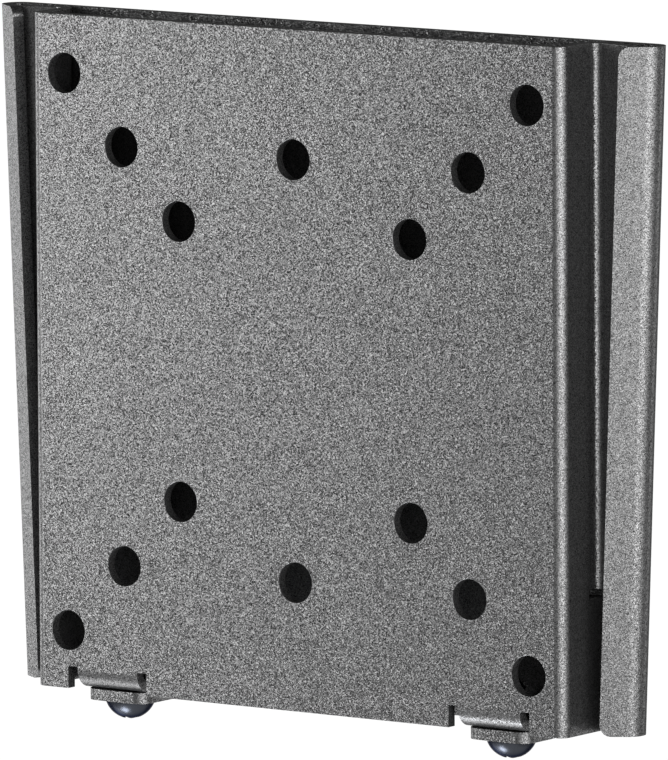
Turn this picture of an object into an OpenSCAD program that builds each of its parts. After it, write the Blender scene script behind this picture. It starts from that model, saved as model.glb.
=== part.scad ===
// Flat mount that holds a small television close to a wall.
// A wall plate with two tapering side channels is screwed to the wall. A TV plate with
// folded wings slides down into the channels, and two screws from below keep it there.
// Origin: centre of the wall face. +Y points into the wall, +Z is up, +X is to the right
// of someone who looks at the wall. All sizes are in millimetres.

/* [Sheet metal] */
// Thickness of the steel sheet of both plates
sheet = 2; // [1.5:0.1:2.5]
// Height of both plates
plate_h = 121; // [115:1:150]
// Distance from the wall to the front face of the TV plate
mount_depth = 14.2; // [13:0.1:20]

/* [TV plate] */
// Width of the TV plate over its side flanges
tv_w = 114.8; // [112:0.2:140]
// Inside radius of the bends beside the front face
front_bend_r = 0.1; // [0.1:0.1:2]
// Inside radius of the bend between a side flange and its wing
wing_bend_r = 1.5; // [0.6:0.1:2]
// Width of the flat part of a wing at mid height
wing_w = 5; // [4:0.1:6.5]
// Height of a wing, from the top edge down
wing_h = 95.7; // [70:0.1:110]
// Angle by which a wing leans forward, away from the wall
wing_lean = 14; // [8:1:20]

/* [Hole grid for the television] */
// Spacing of the largest square of holes
grid_large = 100; // [95:1:102]
// Spacing of the middle square of holes
grid_middle = 75; // [70:1:80]
// Spacing of the smallest square of holes
grid_small = 50; // [45:1:55]
// Diameter of every hole of the grid
grid_hole_d = 7.2; // [5:0.1:8]

/* [Wall plate] */
// Angle by which the sides of the wall plate slant inwards on the way down
channel_taper = 2.14; // [1:0.01:3]
// Inside radius of the bend of a side channel
channel_bend_r = 1.25; // [0.8:0.05:2]
// Angle between the lip of a channel and the wall
lip_lean = 32.2; // [28:0.1:36]
// Width of the flat part of a lip
lip_w = 4.8; // [4:0.1:6]
// Radius of the corners at the free edge of a lip
lip_corner_r = 2; // [1:0.1:2.5]

/* [Slots for the wall screws] */
// Width of a slot
slot_w = 5.5; // [4.5:0.1:7]
// Length of a slot, from end to end
slot_l = 13; // [10:0.5:18]
// Distance between the left and right slots
slot_spacing_x = 50; // [40:1:54]
// Distance between the upper and lower slots
slot_spacing_z = 100; // [80:1:104]

/* [Tabs for the security screws] */
// Distance between the two security screws
tab_spacing = 83; // [70:0.5:90]
// Distance from the front face back to the screw axis
screw_setback = 7; // [6.5:0.1:8]
// Width of a tab of the TV plate
tv_tab_w = 13.2; // [11:0.1:16]
// Distance from the front face to the rear end of a tab of the TV plate
tv_tab_reach = 10.6; // [10.2:0.1:11.5]
// Inside radius of the bend of a tab of the TV plate
tv_tab_bend_r = 1.5; // [0.5:0.1:2]
// Height of a tab's underside above the lower edge of the TV plate
tv_tab_lift = 0.15; // [0:0.05:1]
// Width of a tab of the wall plate
wall_tab_w = 13; // [10:0.1:15]
// Distance from the front face back to the front edge of a tab of the wall plate
wall_tab_setback = 2.1; // [1.5:0.1:2.8]
// Inside radius of the bend of a tab of the wall plate
wall_tab_bend_r = 1; // [0.5:0.1:2]
// Radius of the front corners of a tab of the wall plate
wall_tab_corner_r = 2.5; // [1:0.1:3]
// Width of the relief slots beside every tab
relief_w = 2; // [1:0.1:3]
// Height by which those slots reach above the bend of the tab
relief_reach = 0.35; // [0.1:0.05:0.8]
// Height of the relief slot between a wing and the plain flange below it
wing_relief_h = 1.5; // [0.5:0.1:2.5]
// Distance by which that relief slot reaches past the wing's bend
wing_relief_reach = 0.5; // [0.2:0.1:1.5]

/* [Security screws] */
// Outside diameter of the screw thread
screw_d = 5; // [4:0.1:6]
// Length of a screw below its head
screw_l = 10; // [8:0.5:14]
// Diameter of a screw head
head_d = 8.9; // [8:0.1:10]
// Height of a screw head
head_h = 3.6; // [2.8:0.1:4]
// Height of the straight rim of a screw head
head_rim = 0.2; // [0.1:0.1:0.6]
// Width of the cross recess in a head, across two opposite arms
recess_w = 5.2; // [4:0.1:6]
// Width of one arm of the recess
recess_arm = 1.3; // [0.8:0.1:1.6]
// Depth of the recess below the top of the head
recess_depth = 2.3; // [1.4:0.1:2.6]

/* [Clearances] */
// Gap between the rear of the wings and the wall plate
seat_gap = 0.2; // [0.1:0.05:0.5]
// Gap between the edge of a wing and the lip that holds it
lip_gap = 0.2; // [0.1:0.05:0.5]
// Gap between a tab of the TV plate and the wall plate's tab below it
tab_gap = 0.2; // [0.1:0.05:0.8]
// Widening of a tab's through hole over the screw's diameter
through_gap = 0.5; // [0.3:0.1:1]
// Widening of the tapped hole over the screw's diameter
thread_gap = 0.1; // [0.06:0.02:0.2]

/* [Hidden] */
$fn = 96;
steel_grey = [0.42, 0.42, 0.43];
screw_black = [0.07, 0.07, 0.08];
sides = [-1, 1];

// How far a cutting shape reaches past the face that it cuts, and parts of one sheet overlap
over = 1;

// Flat faces that a bend is made of
bend_steps = 16;

half_h = plate_h / 2;
front_y = -mount_depth;

// Side flange, wing bend and wing of the TV plate
flange_x = tv_w / 2;
wing_rear_y = -sheet - seat_gap;
wing_bend_x = flange_x + wing_bend_r;
wing_bend_y = wing_rear_y - sheet - wing_bend_r;
wing_low_z = half_h - wing_h;
wing_dir = [cos(wing_lean), -sin(wing_lean)];
wing_root = [wing_bend_x + wing_bend_r * sin(wing_lean), wing_bend_y + wing_bend_r * cos(wing_lean)];
wing_tip = wing_root + wing_w * wing_dir;

// Channel of the wall plate: its lip lies at a clearance in front of the wing's edge
lip_out = [sin(lip_lean), -cos(lip_lean)];
lip_in_point = wing_tip + lip_gap * lip_out;
channel_out_r = channel_bend_r + sheet;
channel_x = lip_in_point.x
    - (channel_bend_r + (channel_out_r + lip_in_point.y) * cos(lip_lean)) / sin(lip_lean);
wall_half_w = channel_x + channel_out_r;

// The same lip, measured from the outermost point of the channel
lip_edge = [-channel_out_r + channel_out_r * sin(lip_lean) - lip_w * cos(lip_lean),
            -channel_out_r - channel_out_r * cos(lip_lean) - lip_w * sin(lip_lean)];

// A wing grows upwards with the channel, so that its edge stays parallel to the lip
wing_growth = tan(channel_taper) * sin(lip_lean) / sin(lip_lean + wing_lean);

// Tabs and screws
tab_x = tab_spacing / 2;
screw_y = front_y + screw_setback;
tv_tab_z = -half_h + tv_tab_lift;
wall_tab_z = tv_tab_z - tab_gap - sheet;

// Profiles of bent sheet

// Points of an arc around a centre, from one angle to another
function arc(centre, r, from, to) =
    [for (i = [0 : bend_steps]) let (angle = from + (to - from) * i / bend_steps)
     centre + r * [cos(angle), sin(angle)]];

// The same points, last one first
function reversed(points) = [for (i = [len(points) - 1 : -1 : 0]) points[i]];

// The same points on the other side of the middle
function mirrored(points) = [for (p = points) [-p.x, p.y]];

// What a rounded corner takes away. The corner is at the origin between two edge directions
module corner_waste(r, edge_a, edge_b) {
    half_angle = acos(edge_a * edge_b) / 2;
    middle = (edge_a + edge_b) / norm(edge_a + edge_b);
    centre = middle * r / sin(half_angle);
    difference() {
        polygon([-over * middle, edge_a * r / tan(half_angle), centre, edge_b * r / tan(half_angle)]);
        translate(centre) circle(r);
    }
}

// Outline of a tab that is folded from a sheet: the sheet's outer face is at x = 0, the
// tab's underside at y = 0, and a short root runs up into the sheet
function tab_outline(bend_r, reach) =
    let (centre = (bend_r + sheet) * [1, 1],
         outside = arc(centre, bend_r + sheet, 180, 270),
         inside = arc(centre, bend_r, 270, 180))
    concat([[0, centre.y + over]], outside, [[reach, 0], [reach, sheet]], inside, [[sheet, centre.y + over]]);

// Opening in a sheet's lower edge that a folded tab leaves, with a relief slot on each side
module tab_notch(tab_w, bend_r, tab_z, y_from) {
    notch_w = tab_w + 2 * relief_w;
    top_z = tab_z + bend_r + sheet + relief_reach;
    translate([-notch_w / 2, y_from - over, -half_h - over])
        cube([notch_w, sheet + 2 * over, top_z + half_h + over]);
}

// TV plate

// Right half of the TV plate as seen from above, from the middle to the wing's longest tip:
// one list runs along the front and outer faces, the other along the rear and inner ones
function tv_half_outline() =
    let (front_bend = [flange_x - sheet - front_bend_r, front_y + sheet + front_bend_r],
         wing_bend = [wing_bend_x, wing_bend_y],
         tip = wing_root + (wing_w + wing_growth * half_h + over) * wing_dir,
         outer_face = concat(arc(front_bend, front_bend_r + sheet, 270, 360),
                             arc(wing_bend, wing_bend_r, 180, 90 - wing_lean), [tip]),
         inner_face = concat(arc(front_bend, front_bend_r, 270, 360),
                             arc(wing_bend, wing_bend_r + sheet, 180, 90 - wing_lean),
                             [tip + sheet * [-wing_dir.y, wing_dir.x]]))
    concat(outer_face, reversed(inner_face));

// Waste outside the slanting edge of the right wing, cut square to its faces
module wing_waste() {
    low_w = wing_w + wing_growth * (wing_low_z - over);
    high_w = wing_w + wing_growth * (half_h + over);
    translate([wing_root.x, wing_root.y, 0])
        rotate([90, 0, -wing_lean])
            translate([0, 0, -sheet - over])
                linear_extrude(sheet + 2 * over)
                    polygon([[low_w, wing_low_z - over],
                             [high_w + wing_w, wing_low_z - over],
                             [high_w + wing_w, half_h + over],
                             [high_w, half_h + over]]);
}

// What parts the right wing from the plain flange below it: the slot reaches past the bend
module wing_relief() {
    translate([flange_x - sheet - over, wing_bend_y - wing_relief_reach, -half_h - over])
        cube([tv_w, mount_depth, plate_h - wing_h + over]);
}

// Rear part of the plain flange below the right wing
module low_flange() {
    root_y = wing_bend_y - wing_relief_reach - over;
    translate([flange_x - sheet, root_y, -half_h])
        cube([sheet, wing_rear_y - root_y, plate_h - wing_h - wing_relief_h]);
}

// Tab of the TV plate, folded back from the front sheet, with its tapped hole
module tv_tab() {
    difference() {
        translate([-tv_tab_w / 2, front_y, tv_tab_z])
            rotate([90, 0, 90])
                linear_extrude(tv_tab_w) polygon(tab_outline(tv_tab_bend_r, tv_tab_reach));
        translate([0, screw_y, tv_tab_z - over])
            cylinder(d = screw_d + thread_gap, h = sheet + 2 * over);
    }
}

// Three squares of holes and one pair on the centre line
module grid_holes() {
    squares = [for (spacing = [grid_large, grid_middle, grid_small], i = sides, k = sides)
               [i * spacing / 2, k * spacing / 2]];
    centre_pair = [for (k = sides) [0, k * grid_middle / 2]];
    for (spot = concat(squares, centre_pair))
        translate([spot.x, front_y - over, spot.y])
            rotate([-90, 0, 0]) cylinder(d = grid_hole_d, h = sheet + 2 * over);
}

module tv_plate() {
    color(steel_grey) {
        difference() {
            translate([0, 0, -half_h])
                linear_extrude(plate_h)
                    polygon(concat(tv_half_outline(), reversed(mirrored(tv_half_outline()))));
            for (side = sides) scale([side, 1, 1]) {
                wing_relief();
                wing_waste();
            }
            grid_holes();
            for (side = sides)
                translate([side * tab_x, 0, 0])
                    tab_notch(tv_tab_w, tv_tab_bend_r, tv_tab_z, front_y);
        }
        for (side = sides) scale([side, 1, 1]) {
            low_flange();
            translate([tab_x, 0, 0]) tv_tab();
        }
    }
}

// Wall plate

// Lip, bend and back sheet of the right half, measured from the outermost point. The back
// sheet runs on past the middle
function wall_half_outline() =
    let (centre = -channel_out_r * [1, 1],
         middle = centre.x - plate_h)
    concat([[middle, 0]], arc(centre, channel_out_r, 90, lip_lean - 90),
           [lip_edge, lip_edge - sheet * lip_out],
           arc(centre, channel_bend_r, lip_lean - 90, 90), [[middle, -sheet]]);

// Waste of the two rounded corners at a lip's free edge
module lip_corners() {
    for (end = sides) {
        edge_z = (end * half_h + lip_edge.x * sin(channel_taper)) / cos(channel_taper);
        end_slope = cos(lip_lean) * tan(channel_taper);
        end_dir = [1, end_slope] / norm([1, end_slope]);
        translate([lip_edge.x, lip_edge.y, edge_z])
            rotate([90, 0, lip_lean])
                linear_extrude(3 * sheet, center = true)
                    corner_waste(lip_corner_r, [0, -end], end_dir);
    }
}

// Right half of the wall plate, tilted so that the plate narrows downwards, and trimmed to
// the plate's height and to just past the middle
module wall_half() {
    length = plate_h + 4 * channel_out_r;
    intersection() {
        translate([wall_half_w, 0, 0])
            rotate([0, channel_taper, 0])
                difference() {
                    linear_extrude(length, center = true) polygon(wall_half_outline());
                    lip_corners();
                }
        translate([-over, front_y - over, -half_h])
            cube([tv_w, mount_depth + 2 * over, plate_h]);
    }
}

// Tab of the wall plate, folded forward below the TV plate's tab
module wall_tab() {
    reach = mount_depth - wall_tab_setback;
    difference() {
        translate([wall_tab_w / 2, 0, wall_tab_z])
            rotate([90, 0, -90])
                linear_extrude(wall_tab_w) polygon(tab_outline(wall_tab_bend_r, reach));
        translate([0, screw_y, wall_tab_z - over])
            cylinder(d = screw_d + through_gap, h = sheet + 2 * over);
        for (side = sides)
            translate([side * wall_tab_w / 2, -reach, wall_tab_z - over])
                linear_extrude(sheet + 2 * over)
                    corner_waste(wall_tab_corner_r, [-side, 0], [0, 1]);
    }
}

// Slots for the wall screws, lying across the plate
module wall_slots() {
    for (i = sides, k = sides)
        translate([i * slot_spacing_x / 2, over, k * slot_spacing_z / 2])
            rotate([90, 0, 0])
                linear_extrude(sheet + 2 * over) {
                    square([slot_l - slot_w, slot_w], center = true);
                    for (end = sides) translate([end * (slot_l - slot_w) / 2, 0]) circle(d = slot_w);
                }
}

module wall_plate() {
    color(steel_grey) {
        difference() {
            union() {
                wall_half();
                mirror([1, 0, 0]) wall_half();
            }
            wall_slots();
            for (side = sides)
                translate([side * tab_x, 0, 0])
                    tab_notch(wall_tab_w, wall_tab_bend_r, wall_tab_z, -sheet);
        }
        for (side = sides) translate([side * tab_x, 0, 0]) wall_tab();
    }
}

// Security screws

// Cross recess that narrows towards its floor, open at the top of the head
module cross_recess() {
    translate([0, 0, head_h - recess_depth])
        intersection() {
            union() for (turn = [0, 90]) rotate(turn)
                translate([-recess_w / 2, -recess_arm / 2, 0]) cube([recess_w, recess_arm, recess_depth + over]);
            cylinder(d1 = recess_arm, d2 = recess_w, h = recess_depth + over);
        }
}

// Screw with its head's bearing face at z = 0: the head is above, the shank below
module pan_screw() {
    crown = head_h - head_rim;
    dome_r = (head_d * head_d / 4 + crown * crown) / (2 * crown);
    difference() {
        rotate_extrude() intersection() {
            translate([0, head_h - dome_r]) circle(dome_r);
            square([head_d / 2, head_h]);
        }
        cross_recess();
    }
    translate([0, 0, -screw_l]) cylinder(d = screw_d, h = screw_l + head_rim);
}

module security_screw(side) {
    color(screw_black)
        translate([side * tab_x, screw_y, wall_tab_z])
            rotate([180, 0, 0]) pan_screw();
}

module security_screw_left() { security_screw(-1); }
module security_screw_right() { security_screw(1); }

wall_plate();
tv_plate();
security_screw_left();
security_screw_right();
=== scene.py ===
"""Looks of a flat steel wall mount for a small television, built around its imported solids.

The wall plate and the TV plate keep the form of their solids. Their sheet edges are broken as on
punched and coated steel, and both carry a sparkling powder coat. The security screws are turned
surfaces with a cross recess and a rolled thread, in glossy black.
"""
import logging
import math
from dataclasses import dataclass, field
from enum import Enum
from typing import Any

import bmesh
import bpy
import numpy as np
from mathutils import Matrix, Vector


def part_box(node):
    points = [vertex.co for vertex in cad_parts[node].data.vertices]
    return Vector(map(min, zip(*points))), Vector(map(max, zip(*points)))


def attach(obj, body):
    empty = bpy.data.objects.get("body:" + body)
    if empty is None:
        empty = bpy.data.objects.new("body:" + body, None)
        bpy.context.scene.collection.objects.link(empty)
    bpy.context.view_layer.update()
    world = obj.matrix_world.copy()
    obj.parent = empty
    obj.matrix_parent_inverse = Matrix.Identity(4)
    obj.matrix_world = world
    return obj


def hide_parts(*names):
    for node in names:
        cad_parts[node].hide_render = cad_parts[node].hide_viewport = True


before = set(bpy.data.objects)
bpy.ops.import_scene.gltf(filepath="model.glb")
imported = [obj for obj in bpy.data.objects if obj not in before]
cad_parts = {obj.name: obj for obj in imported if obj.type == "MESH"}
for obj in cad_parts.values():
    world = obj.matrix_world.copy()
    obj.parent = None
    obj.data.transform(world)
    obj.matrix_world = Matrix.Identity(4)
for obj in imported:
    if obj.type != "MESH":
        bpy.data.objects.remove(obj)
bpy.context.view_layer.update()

log = logging.getLogger("wall_mount")

MM = 0.001
BODY = "root"


class Slot(Enum):
    """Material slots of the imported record."""

    POWDER_COAT = "powder_coat"
    BLACK_SCREW = "black_screw"


class Wire:
    """A shader socket or a number, with Python's operators as Math nodes."""

    def __init__(self, graph: "Graph", socket: Any) -> None:
        """Wraps a socket of a graph."""
        self.graph = graph
        self.socket = socket

    def _with(self, operation: str, other: Any, swapped: bool = False) -> "Wire":
        """Returns a Math node on this wire and another value.

        Args:
            operation: the Math node's operation.
            other: a number or a wire.
            swapped: whether the other value comes first.

        Returns:
            The node's output.
        """
        pair = (other, self) if swapped else (self, other)
        return self.graph.add("ShaderNodeMath", {"operation": operation}, {0: pair[0], 1: pair[1]})

    def __add__(self, other: Any) -> "Wire":
        """Sum."""
        return self._with("ADD", other)

    __radd__ = __add__

    def __sub__(self, other: Any) -> "Wire":
        """Difference."""
        return self._with("SUBTRACT", other)

    def __rsub__(self, other: Any) -> "Wire":
        """Difference, with the number first."""
        return self._with("SUBTRACT", other, swapped=True)

    def __mul__(self, other: Any) -> "Wire":
        """Product."""
        return self._with("MULTIPLY", other)

    __rmul__ = __mul__


class Graph:
    """Node tree of a material or of the world."""

    def __init__(self, owner: Any) -> None:
        """Empties the owner's node tree and keeps it."""
        owner.use_nodes = True
        self.tree = owner.node_tree
        self.tree.nodes.clear()

    def add(self, kind: str, settings: dict[str, Any] | None = None,
            inputs: dict[Any, Any] | None = None, output: Any = 0) -> Wire:
        """Adds a node.

        Args:
            kind: the node's type.
            settings: attributes of the node, set before its sockets.
            inputs: values or wires, by the name or the number of the socket.
            output: name or number of the socket that is returned.

        Returns:
            The chosen output as a wire.
        """
        node = self.tree.nodes.new(kind)
        for name, value in (settings or {}).items():
            setattr(node, name, value)
        for name, value in (inputs or {}).items():
            if isinstance(value, Wire):
                self.tree.links.new(value.socket, node.inputs[name])
            else:
                node.inputs[name].default_value = value
        return Wire(self, node.outputs[output] if len(node.outputs) else None)


def grey(value: float) -> tuple[float, float, float, float]:
    """An opaque linear grey."""
    return (value, value, value, 1.0)


@dataclass(frozen=True)
class PowderCoat:
    """Metallic powder coat whose flakes differ in lightness and in the way that they face."""

    name: str = "powder_coat"
    tint: tuple[float, float, float] = (0.061, 0.061, 0.0613)
    grain: float = 0.155 * MM
    own_contrast: float = 0.9
    # Strength of the lightness painted onto each flake by its tip: painted shade when tipped right, painted
    # highlight when tipped left.
    painted_tilt_shade: float = 1.1
    tilt: float = 0.2
    metallic: float = 0.85
    roughness: float = 0.28
    grazing: tuple[float, float, float] = (0.4, 0.4, 0.4)

    def build(self) -> bpy.types.Material:
        """Returns the material.

        Every cell of one grain's size is a flake. Its random colour as a vector, less its middle,
        tips its normal. Its lightness has a mean of 1. With the tip to the right it falls as painted
        shade, and with the tip to the left it rises as painted highlight, a painted sparkle; another
        channel of the colour gives it a random tone of its own.
        """
        material = bpy.data.materials.new(self.name)
        graph = Graph(material)
        place = graph.add("ShaderNodeTexCoord", output="Object")
        flakes = graph.add("ShaderNodeTexVoronoi", {"feature": "F1"},
                           {"Vector": place, "Scale": 1.0 / self.grain}, output="Color")
        red = graph.add("ShaderNodeSeparateColor", {}, {"Color": flakes}, output="Red")
        green = Wire(graph, red.socket.node.outputs["Green"])
        # Each flake's lightness: a random tone of its own, plus painted shade and painted highlight that
        # follow its tip.
        factor = 1.0 + (green - 0.5) * self.own_contrast + (0.5 - red) * self.painted_tilt_shade
        colour = graph.add("ShaderNodeMix", {"data_type": "RGBA", "blend_type": "MULTIPLY"},
                           {"Factor": 1.0, 6: (*self.tint, 1.0), 7: factor}, output=2)
        tip = graph.add("ShaderNodeVectorMath", {"operation": "MULTIPLY_ADD"},
                        {0: flakes, 1: (self.tilt,) * 3, 2: (-self.tilt / 2.0,) * 3})
        level = graph.add("ShaderNodeNewGeometry", output="Normal")
        facing = graph.add("ShaderNodeVectorMath", {"operation": "ADD"}, {0: level, 1: tip})
        normal = graph.add("ShaderNodeVectorMath", {"operation": "NORMALIZE"}, {0: facing})
        shader = graph.add("ShaderNodeBsdfPrincipled", {},
                           {"Base Color": colour, "Metallic": self.metallic,
                            "Roughness": self.roughness, "Specular IOR Level": 0.0,
                            "Specular Tint": (*self.grazing, 1.0), "Normal": normal})
        graph.add("ShaderNodeOutputMaterial", {}, {"Surface": shader})
        return material


@dataclass(frozen=True)
class BlackGloss:
    """Glossy black finish of the screws, over faintly uneven steel."""

    name: str = "black_screw"
    colour: tuple[float, float, float] = (0.019, 0.0205, 0.024)
    wave: float = 1.5 * MM
    wave_depth: float = 0.01 * MM
    roughness: float = 0.24
    roughness_change: float = 0.08
    grazing: tuple[float, float, float] = (0.4, 0.4, 0.42)

    def build(self) -> bpy.types.Material:
        """Returns the material, whose gloss and level vary softly over the surface."""
        material = bpy.data.materials.new(self.name)
        graph = Graph(material)
        place = graph.add("ShaderNodeTexCoord", output="Object")
        unevenness = graph.add("ShaderNodeTexNoise", {}, {"Vector": place, "Scale": 1.0 / self.wave,
                                                          "Detail": 2.0}, output="Fac")
        bump = graph.add("ShaderNodeBump", {}, {"Strength": 1.0, "Distance": self.wave_depth,
                                                "Height": unevenness})
        shader = graph.add("ShaderNodeBsdfPrincipled", {},
                           {"Base Color": (*self.colour, 1.0), "Metallic": 1.0,
                            "Specular Tint": (*self.grazing, 1.0),
                            "Roughness": self.roughness + unevenness * self.roughness_change,
                            "Normal": bump})
        graph.add("ShaderNodeOutputMaterial", {}, {"Surface": shader})
        return material


@dataclass
class FoldedPlate:
    """A plate of folded sheet: its solid's form, with the edges of the sheet broken."""

    node: str
    name: str
    finish: bpy.types.Material
    edge: float = 0.22 * MM
    edge_steps: int = 2
    sharp_angle: float = math.radians(30.0)
    weld: float = 0.0005 * MM
    flatness: float = math.radians(0.2)

    def build(self) -> bpy.types.Object:
        """Returns the dressed plate, which stands for its solid."""
        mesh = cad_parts[self.node].data.copy()
        mesh.name = self.name
        self._merge(mesh)
        mesh.materials.clear()
        mesh.materials.append(self.finish)
        plate = bpy.data.objects.new(self.name, mesh)
        bpy.context.scene.collection.objects.link(plate)
        self._break_edges(plate)
        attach(plate, BODY)
        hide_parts(self.node)
        return plate

    def _merge(self, mesh: bpy.types.Mesh) -> None:
        """Welds the loose triangles and joins those that lie in one plane."""
        work = bmesh.new()
        work.from_mesh(mesh)
        bmesh.ops.remove_doubles(work, verts=work.verts, dist=self.weld)
        bmesh.ops.dissolve_limit(work, angle_limit=self.flatness, verts=work.verts, edges=work.edges,
                                 use_dissolve_boundaries=False)
        for face in work.faces:
            face.smooth = True
        work.to_mesh(mesh)
        work.free()

    def _break_edges(self, plate: bpy.types.Object) -> None:
        """Adds the bevel along the sheet's edges and keeps its flat faces flat."""
        bevel = plate.modifiers.new("broken_edge", "BEVEL")
        bevel.width = self.edge
        bevel.segments = self.edge_steps
        bevel.limit_method = "ANGLE"
        bevel.angle_limit = self.sharp_angle
        bevel.use_clamp_overlap = True
        shading = plate.modifiers.new("flat_faces", "WEIGHTED_NORMAL")
        shading.keep_sharp = True


@dataclass
class SecurityScrew:
    """Black screw with a domed head, head down, a cross recess and a rolled thread.

    The surface is a grid of turns by profile points. The profile runs from the middle of the head
    over its dome and rim, under the head to the shank, and up the thread to the tip. In the
    recess the dome sinks to the floor of a cross whose arms narrow towards the axis. On the shank
    the radius follows a trapezoid wave of the height less the turn's share of the pitch.
    """

    node: str
    name: str
    finish: bpy.types.Material
    turn_steps: int = 192
    dome_steps: int = 96
    head_h: float = 3.6 * MM
    head_rim: float = 0.2 * MM
    shank_d: float = 5.0 * MM
    pitch: float = 0.8 * MM
    thread_depth: float = 0.45 * MM
    tip_chamfer: float = 0.8 * MM
    steps_per_pitch: int = 12
    recess_w: float = 5.2 * MM
    recess_arm: float = 1.3 * MM
    recess_depth: float = 2.3 * MM
    recess_wall: float = 0.12 * MM
    recess_slope: float = 1.6
    rim_round: float = 0.1 * MM
    crease_angle: float = math.radians(40.0)
    ridge_height: float = 2.0
    ridge_slope: float = 6.0

    def build(self) -> bpy.types.Object:
        """Returns the screw, which stands for its solid."""
        low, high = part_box(self.node)
        centre = (low + high) / 2.0
        points, faces = self._surface((high.x - low.x) / 2.0, high.z - low.z)
        points[:, 0] += centre.x
        points[:, 1] += centre.y
        points[:, 2] += low.z
        mesh = bpy.data.meshes.new(self.name)
        mesh.from_pydata(points.tolist(), [], faces)
        mesh.shade_smooth()
        mesh.set_sharp_from_angle(angle=self.crease_angle)
        mesh.materials.append(self.finish)
        screw = bpy.data.objects.new(self.name, mesh)
        bpy.context.scene.collection.objects.link(screw)
        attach(screw, BODY)
        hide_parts(self.node)
        return screw

    def _surface(self, head_r: float, length: float) -> tuple[np.ndarray, list[tuple[int, ...]]]:
        """Works out the screw, with the top of its head at the origin and its tip upwards.

        Args:
            head_r: radius of the head.
            length: whole length from the top of the head to the tip.

        Returns:
            The points and the faces.
        """
        turn = np.linspace(0.0, 2.0 * math.pi, self.turn_steps, endpoint=False)
        crown = self.head_h - self.head_rim
        dome_r = (head_r ** 2 + crown ** 2) / (2.0 * crown)
        dome = np.linspace(0.0, head_r, self.dome_steps + 1)[1:]
        sag = dome_r - np.sqrt(dome_r ** 2 - dome ** 2)
        r_dome, t_dome = np.meshgrid(dome, turn, indexing="ij")
        z_dome = np.maximum(sag[:, None], self._recess(r_dome, t_dome))
        r_head = np.concatenate([r_dome, np.full((2, turn.size), head_r)])
        z_head = np.concatenate([z_dome, np.full((1, turn.size), self.head_h - self.rim_round),
                                 np.full((1, turn.size), self.head_h)])
        r_head[-1] = head_r - self.rim_round
        r_thread, z_thread = self._thread(turn, length)
        radius = np.concatenate([r_head, r_thread])
        height = np.concatenate([z_head, z_thread])
        points = np.stack([radius * np.cos(turn), radius * np.sin(turn), height], axis=-1).reshape(-1, 3)
        floor = float(self._recess(np.zeros((1, 1)), np.zeros((1, 1)))[0, 0])
        points = np.concatenate([points, [[0.0, 0.0, floor], [0.0, 0.0, length]]])
        return points, self._faces(radius.shape[0], turn.size)

    def _recess(self, radius: np.ndarray, turn: np.ndarray) -> np.ndarray:
        """Depth of the cross recess below the head's top, or a negative number outside it.

        The cross is two bands of the arm's width. Within them the floor rises from the full depth
        at the axis in a cone to nothing at the ends of the arms, and at the sides of an arm the
        depth falls off within the width of the recess's wall.
        """
        x = np.abs(radius * np.cos(turn))
        y = np.abs(radius * np.sin(turn))
        side = np.minimum(x, y)
        inside = (self.recess_arm / 2.0 - side) / self.recess_wall
        cone = self.recess_depth * (1.0 - radius / (self.recess_w / 2.0)) * self.recess_slope
        depth = np.minimum(cone, self.recess_depth)
        return np.where(inside > 0.0, depth * np.clip(inside, 0.0, 1.0), -1.0)

    def _thread(self, turn: np.ndarray, length: float) -> tuple[np.ndarray, np.ndarray]:
        """Radii and heights of the shank, row by row from under the head to the tip."""
        rows = int(round((length - self.head_h) / self.pitch * self.steps_per_pitch))
        height = np.linspace(self.head_h, length, rows)[:, None] + np.zeros((1, turn.size))
        phase = (height / self.pitch - turn / (2.0 * math.pi)) % 1.0
        ridge = np.clip(self.ridge_height - np.abs(phase - 0.5) * self.ridge_slope, 0.0, 1.0)
        run_in = np.clip((height - self.head_h) / self.pitch, 0.0, 1.0)
        radius = self.shank_d / 2.0 - self.thread_depth * (1.0 - ridge) * run_in
        tip = self.shank_d / 2.0 - np.clip(height - (length - self.tip_chamfer), 0.0, None)
        return np.minimum(radius, tip), height

    @staticmethod
    def _faces(rows: int, turns: int) -> list[tuple[int, ...]]:
        """Quads between the rows, and fans at both poles, all pointing outwards."""
        first = np.arange(turns)
        after = (first + 1) % turns
        row = np.arange(rows - 1)[:, None] * turns
        quads = np.stack([row + first, row + turns + first, row + turns + after, row + after], axis=-1)
        last = (rows - 1) * turns
        poles = rows * turns
        start = np.stack([np.full(turns, poles), first, after], axis=-1)
        end = np.stack([np.full(turns, poles + 1), last + after, last + first], axis=-1)
        return [tuple(f) for f in quads.reshape(-1, 4).tolist() + start.tolist() + end.tolist()]


@dataclass(frozen=True)
class Softbox:
    """A rectangular soft light that faces the mount."""

    name: str
    azimuth: float
    elevation: float
    radiance: float
    distance: float = 1.1
    width: float = 0.36
    height: float = 0.9
    tint: tuple[float, float, float] = (1.0, 1.0, 1.0)

    def build(self, target: Vector) -> bpy.types.Object:
        """Places the light.

        Args:
            target: the point that it faces.

        Returns:
            The light.
        """
        light = bpy.data.lights.new(self.name, "AREA")
        light.shape = "RECTANGLE"
        light.size = self.width
        light.size_y = self.height
        light.energy = self.radiance * math.pi * self.width * self.height
        light.color = self.tint
        lamp = bpy.data.objects.new(self.name, light)
        lamp.visible_camera = False
        bpy.context.scene.collection.objects.link(lamp)
        around, up = math.radians(self.azimuth), math.radians(self.elevation)
        towards = Vector((math.sin(around) * math.cos(up), -math.cos(around) * math.cos(up), math.sin(up)))
        lamp.location = target + towards * self.distance
        lamp.rotation_euler = towards.to_track_quat("Z", "Y").to_euler()
        return lamp


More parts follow.
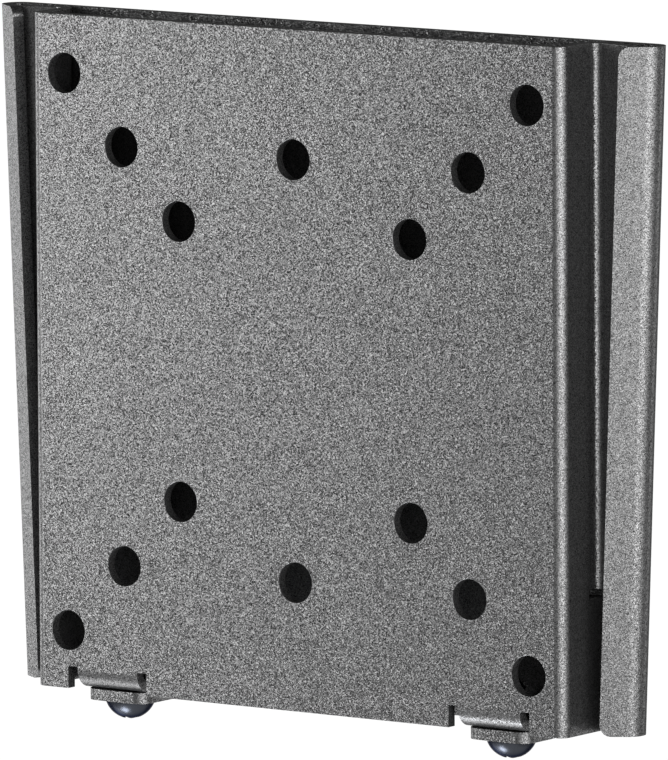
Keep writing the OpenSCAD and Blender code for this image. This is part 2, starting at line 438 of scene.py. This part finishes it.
@dataclass
class Studio:
    """Camera, floor, world and soft lights."""

    camera_place: tuple[float, float, float] = (1.365576, -1.905296, 0.296808)
    camera_target: tuple[float, float, float] = (0.00865319, -0.0142, -0.00087576)
    camera_roll: float = math.radians(-0.31416)
    focal_length: float = 633.17
    sensor: float = 36.0
    clip_end: float = 100.0
    mount_centre: tuple[float, float, float] = (0.0, -0.007, 0.0)
    floor_drop: float = 0.45
    floor_size: float = 30.0
    floor_colour: float = 0.2
    floor_glow: float = 1.0
    world_level: float = 0.15
    softboxes: list[Softbox] = field(default_factory=list)

    def build(self) -> None:
        """Builds the whole studio."""
        self._camera()
        self._floor()
        self._world()
        for softbox in self.softboxes:
            softbox.build(Vector(self.mount_centre))

    def _camera(self) -> None:
        """Places the camera so that it looks at its target, with a small roll."""
        data = bpy.data.cameras.new("camera")
        data.lens = self.focal_length
        data.sensor_width = self.sensor
        data.clip_end = self.clip_end
        camera = bpy.data.objects.new("camera", data)
        place, target = Vector(self.camera_place), Vector(self.camera_target)
        turned = (place - target).to_track_quat("Z", "Y").to_matrix().to_4x4()
        camera.matrix_world = Matrix.Translation(place) @ turned @ Matrix.Rotation(self.camera_roll, 4, "Z")
        bpy.context.scene.collection.objects.link(camera)
        bpy.context.scene.camera = camera

    @staticmethod
    def _seen(graph: Graph) -> Wire:
        """Returns 1 on the rays of the camera, of glossy reflections and of transmission."""
        rays = graph.add("ShaderNodeLightPath").socket.node
        camera, glossy, through = (Wire(graph, rays.outputs[name]) for name in
                                   ("Is Camera Ray", "Is Glossy Ray", "Is Transmission Ray"))
        return camera + glossy + through

    def _floor(self) -> None:
        """Lays a plain pale floor below the mount. It glows white where it is seen."""
        material = bpy.data.materials.new("pale_floor")
        graph = Graph(material)
        diffuse = graph.add("ShaderNodeBsdfDiffuse", {}, {"Color": grey(self.floor_colour)})
        glow = graph.add("ShaderNodeEmission", {}, {"Strength": self._seen(graph) * self.floor_glow})
        both = graph.add("ShaderNodeAddShader", {}, {0: diffuse, 1: glow})
        graph.add("ShaderNodeOutputMaterial", {}, {"Surface": both})
        half = self.floor_size / 2.0
        mesh = bpy.data.meshes.new("floor")
        corners = [(-half, -half), (half, -half), (half, half), (-half, half)]
        mesh.from_pydata([(x, y, -self.floor_drop) for x, y in corners], [], [(0, 1, 2, 3)])
        mesh.materials.append(material)
        floor = bpy.data.objects.new("floor", mesh)
        bpy.context.scene.collection.objects.link(floor)

    def _world(self) -> None:
        """Surrounds everything with an even light."""
        world = bpy.data.worlds.new("studio")
        bpy.context.scene.world = world
        graph = Graph(world)
        background = graph.add("ShaderNodeBackground", {}, {"Color": grey(self.world_level)})
        graph.add("ShaderNodeOutputWorld", {}, {"Surface": background})


SOFTBOXES = [
    Softbox("front_left", azimuth=-50.0, elevation=8.0, radiance=11.6),
    Softbox("left", azimuth=-90.0, elevation=8.0, radiance=11.1),
    Softbox("far_left", azimuth=-110.0, elevation=8.0, radiance=10.4),
    Softbox("front", azimuth=10.0, elevation=8.0, radiance=0.8),
    Softbox("front_right", azimuth=30.0, elevation=8.0, radiance=6.6),
    Softbox("key_near", azimuth=50.0, elevation=8.0, radiance=12.2),
    Softbox("key_far", azimuth=70.0, elevation=8.0, radiance=11.8),
    Softbox("right", azimuth=90.0, elevation=8.0, radiance=4.6),
    Softbox("rim", azimuth=150.0, elevation=8.0, radiance=3.2),
    Softbox("under", azimuth=0.0, elevation=-88.0, radiance=1.5, distance=0.4, width=0.6, height=0.6),
    Softbox("low_left", azimuth=-92.0, elevation=-55.0, radiance=6.0, distance=0.5, width=0.3,
            height=0.2),
    Softbox("glint", azimuth=-41.0, elevation=-70.0, radiance=48.0, distance=0.42, width=0.13,
            height=0.13, tint=(0.93, 0.96, 1.0)),
]


def main() -> None:
    """Builds the mount and the studio around it."""
    logging.basicConfig(level=logging.INFO, format="%(name)s: %(message)s")
    bpy.context.scene.view_settings.view_transform = "Standard"
    coat = PowderCoat().build()
    black = BlackGloss().build()
    pieces = [
        FoldedPlate("wall_plate", "wall_plate_sheet", coat).build(),
        FoldedPlate("tv_plate", "tv_plate_sheet", coat).build(),
        SecurityScrew("security_screw_left", "screw_left", black).build(),
        SecurityScrew("security_screw_right", "screw_right", black).build(),
    ]
    for piece in pieces:
        log.info("%s: %d faces before modifiers", piece.name, len(piece.data.polygons))
    Studio(softboxes=SOFTBOXES).build()


if __name__ == "__main__":
    main()
